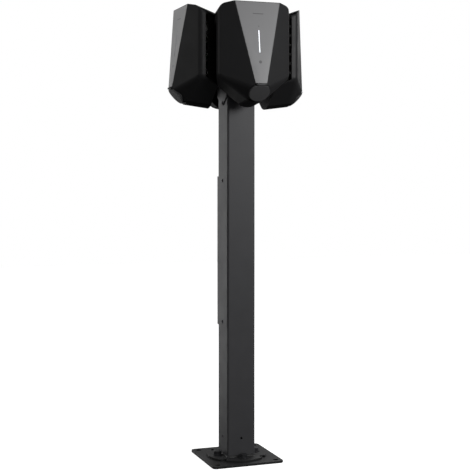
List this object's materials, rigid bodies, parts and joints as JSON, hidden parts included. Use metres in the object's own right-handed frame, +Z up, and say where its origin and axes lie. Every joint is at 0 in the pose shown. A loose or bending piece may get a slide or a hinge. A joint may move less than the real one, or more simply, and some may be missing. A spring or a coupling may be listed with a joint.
{
  "type": "ev charging post",
  "caption": "Free-standing square steel post on a bolted foot, carrying wedge-shaped charging units back to back at its head, each with a hinged socket cover.",
  "frame": {"origin": "centre of the base plate's underside", "axes": "+Z up along the post; the front unit faces -Y, the right unit +X, the rear unit +Y and the left unit, on the hatch side, -X"},
  "size_m": [0.3698, 0.3698, 1.175],
  "materials": {
    "powder_coat": "fine-textured satin black powder coat",
    "foot_coat": "satin black powder coat",
    "black_steel": "blackened zinc-plated steel",
    "unit_shell": "fine-grained matt black plastic",
    "unit_face": "satin mid-grey plastic",
    "unit_black": "matt black plastic",
    "cover_grey": "soft-touch dark grey plastic",
    "socket_black": "matt black thermoset",
    "light_guide": "frosted clear plastic, lit white",
    "rubber": "matt black sealing rubber",
    "circuit_board": "green solder mask",
    "grey_plastic": "light grey polyamide",
    "steel": "stainless steel",
    "zinc": "passivated zinc"
  },
  "bodies": {
    "post": {"base_plate": "foot_coat", "foot_flange": "foot_coat", "foot_bolts": "black_steel", "post_tube": "powder_coat", "hatch_cover": "powder_coat", "hatch_seal": "rubber", "post_screws": "black_steel", "head_frame": "powder_coat", "head_cap": "unit_black", "cable_glands": "grey_plastic", "din_rail": "zinc", "supply_terminals": "grey_plastic", "wall_plates": "unit_black", "hinge_pins": "steel", "front_chassis": "unit_black", "front_shell": "unit_shell", "front_faceplate": "unit_face", "front_light_guides": "light_guide", "front_seal": "rubber", "front_board": "circuit_board", "front_terminals": "grey_plastic", "front_socket": "socket_black", "front_contact_block": "socket_black", "right_chassis": "unit_black", "right_shell": "unit_shell", "right_faceplate": "unit_face", "right_light_guides": "light_guide", "right_seal": "rubber", "right_board": "circuit_board", "right_terminals": "grey_plastic", "right_socket": "socket_black", "right_contact_block": "socket_black", "rear_chassis": "unit_black", "rear_shell": "unit_shell", "rear_faceplate": "unit_face", "rear_light_guides": "light_guide", "rear_seal": "rubber", "rear_board": "circuit_board", "rear_terminals": "grey_plastic", "rear_socket": "socket_black", "rear_contact_block": "socket_black", "left_chassis": "unit_black", "left_shell": "unit_shell", "left_faceplate": "unit_face", "left_light_guides": "light_guide", "left_seal": "rubber", "left_board": "circuit_board", "left_terminals": "grey_plastic", "left_socket": "socket_black", "left_contact_block": "socket_black"},
    "front_cover": {"front_socket_cover": "cover_grey"},
    "front_lock": {"front_lock_pin": "steel"},
    "right_cover": {"right_socket_cover": "cover_grey"},
    "right_lock": {"right_lock_pin": "steel"},
    "rear_cover": {"rear_socket_cover": "cover_grey"},
    "rear_lock": {"rear_lock_pin": "steel"},
    "left_cover": {"left_socket_cover": "cover_grey"},
    "left_lock": {"left_lock_pin": "steel"}
  },
  "joints": [
    {"name": "front_cover_hinge", "type": "hinge", "parent": "post", "child": "front_cover", "pos_m": [0, -0.18234, 0.96499], "axis": [-1, 0, 0], "range_deg": [0, 110], "stiffness_Nm_per_rad": 0.01, "springref_deg": -34.38},
    {"name": "front_lock_slide", "type": "slide", "parent": "post", "child": "front_lock", "axis": [-1, 0, 0], "range_m": [0, 0.006]},
    {"name": "right_cover_hinge", "type": "hinge", "parent": "post", "child": "right_cover", "pos_m": [0.18234, 0, 0.96499], "axis": [0, -1, 0], "range_deg": [0, 110], "stiffness_Nm_per_rad": 0.01, "springref_deg": -34.38},
    {"name": "right_lock_slide", "type": "slide", "parent": "post", "child": "right_lock", "axis": [0, -1, 0], "range_m": [0, 0.006]},
    {"name": "rear_cover_hinge", "type": "hinge", "parent": "post", "child": "rear_cover", "pos_m": [0, 0.18234, 0.96499], "axis": [1, 0, 0], "range_deg": [0, 110], "stiffness_Nm_per_rad": 0.01, "springref_deg": -34.38},
    {"name": "rear_lock_slide", "type": "slide", "parent": "post", "child": "rear_lock", "axis": [1, 0, 0], "range_m": [0, 0.006]},
    {"name": "left_cover_hinge", "type": "hinge", "parent": "post", "child": "left_cover", "pos_m": [-0.18234, 0, 0.96499], "axis": [0, 1, 0], "range_deg": [0, 110], "stiffness_Nm_per_rad": 0.01, "springref_deg": -34.38},
    {"name": "left_lock_slide", "type": "slide", "parent": "post", "child": "left_lock", "axis": [0, 1, 0], "range_m": [0, 0.006]}
  ]
}
